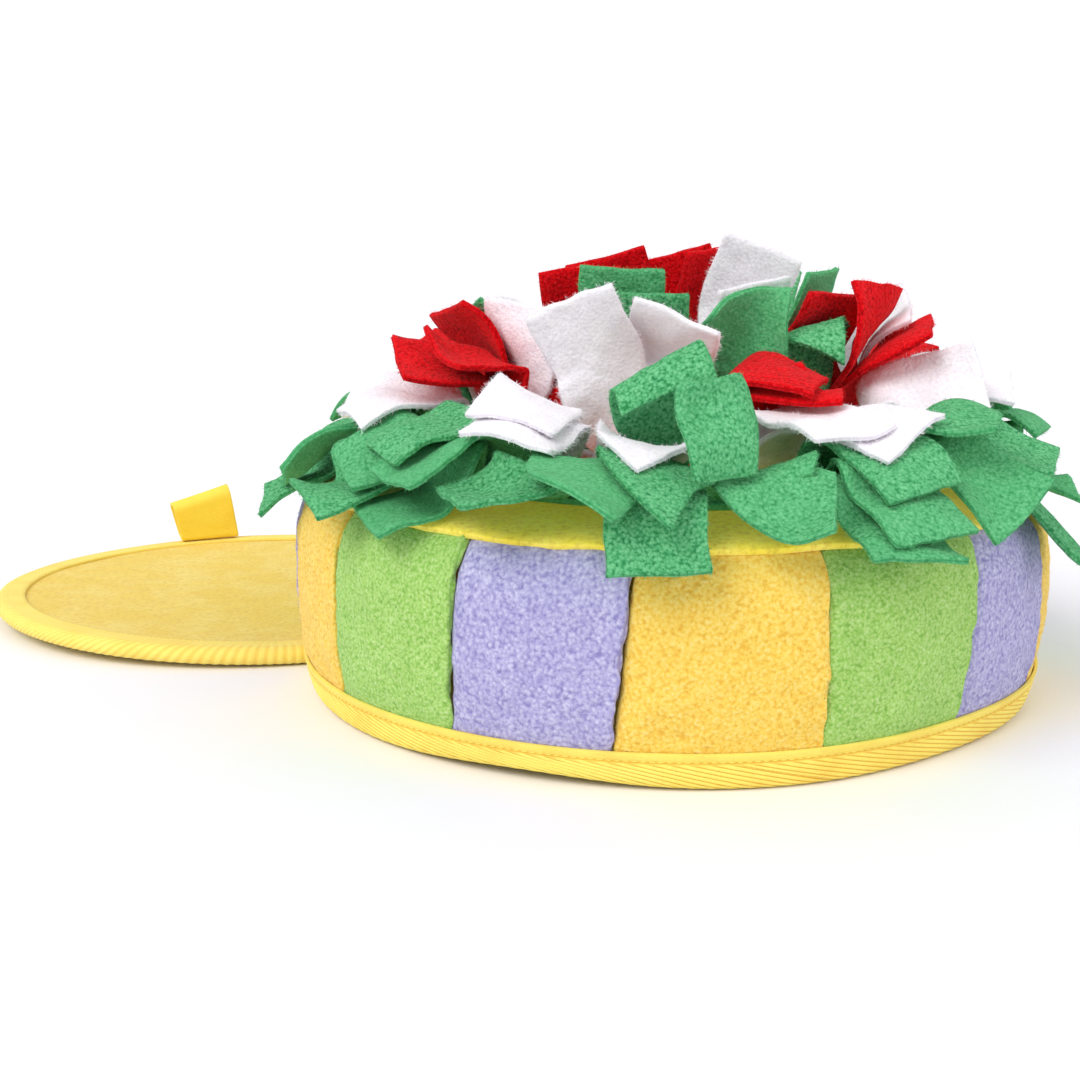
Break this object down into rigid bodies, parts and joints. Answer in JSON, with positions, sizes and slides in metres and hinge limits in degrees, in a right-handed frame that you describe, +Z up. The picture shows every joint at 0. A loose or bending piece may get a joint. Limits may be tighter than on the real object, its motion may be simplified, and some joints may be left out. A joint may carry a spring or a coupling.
{
  "type": "snuffle box",
  "caption": "Soft round treat box on its open mouth: patchwork fleece wall, mound of fleece petals on top, and a bound felt lid with a ribbon pull loop folded out beside it.",
  "frame": {"origin": "on the floor, under the middle of the whole part's box", "axes": "+Z up from the floor, +X to the right as seen from the front, -Y towards the viewer"},
  "size_m": [0.4374, 0.3804, 0.166],
  "materials": {
    "patch_yellow": "short-pile fleece, matt",
    "patch_lime": "short-pile fleece, matt",
    "patch_lilac": "short-pile fleece, matt",
    "felt_top": "pressed felt, matt",
    "felt_lid": "pressed felt, matt",
    "twill_tape": "twill-woven tape, slight sheen",
    "ribbon": "ribbed ribbon, slight sheen",
    "fleece_green": "curly-nap fleece, matt",
    "fleece_white": "curly-nap fleece, matt",
    "fleece_red": "curly-nap fleece, matt"
  },
  "bodies": {
    "root": {"wall_patch_1_yellow": "patch_yellow", "wall_patch_1_green": "patch_lime", "wall_patch_1_lilac": "patch_lilac", "wall_patch_2_yellow": "patch_yellow", "wall_patch_2_green": "patch_lime", "wall_patch_2_lilac": "patch_lilac", "wall_patch_3_yellow": "patch_yellow", "wall_patch_3_green": "patch_lime", "wall_patch_3_lilac": "patch_lilac", "wall_patch_4_yellow": "patch_yellow", "wall_patch_4_green": "patch_lime", "wall_patch_4_lilac": "patch_lilac", "wall_patch_5_yellow": "patch_yellow", "wall_patch_5_green": "patch_lime", "wall_patch_5_lilac": "patch_lilac", "top_panel": "felt_top", "rim_binding": "twill_tape", "lid": "felt_lid", "lid_binding": "twill_tape", "pull_loop": "ribbon", "petals_green_outer": "fleece_green", "petals_green_inner": "fleece_green", "petals_white_outer": "fleece_white", "petals_red_outer": "fleece_red", "petals_white_middle": "fleece_white", "petals_green_middle": "fleece_green", "petals_white_centre": "fleece_white", "petals_red_centre": "fleece_red", "petals_green_centre": "fleece_green"}
  },
  "joints": []
}
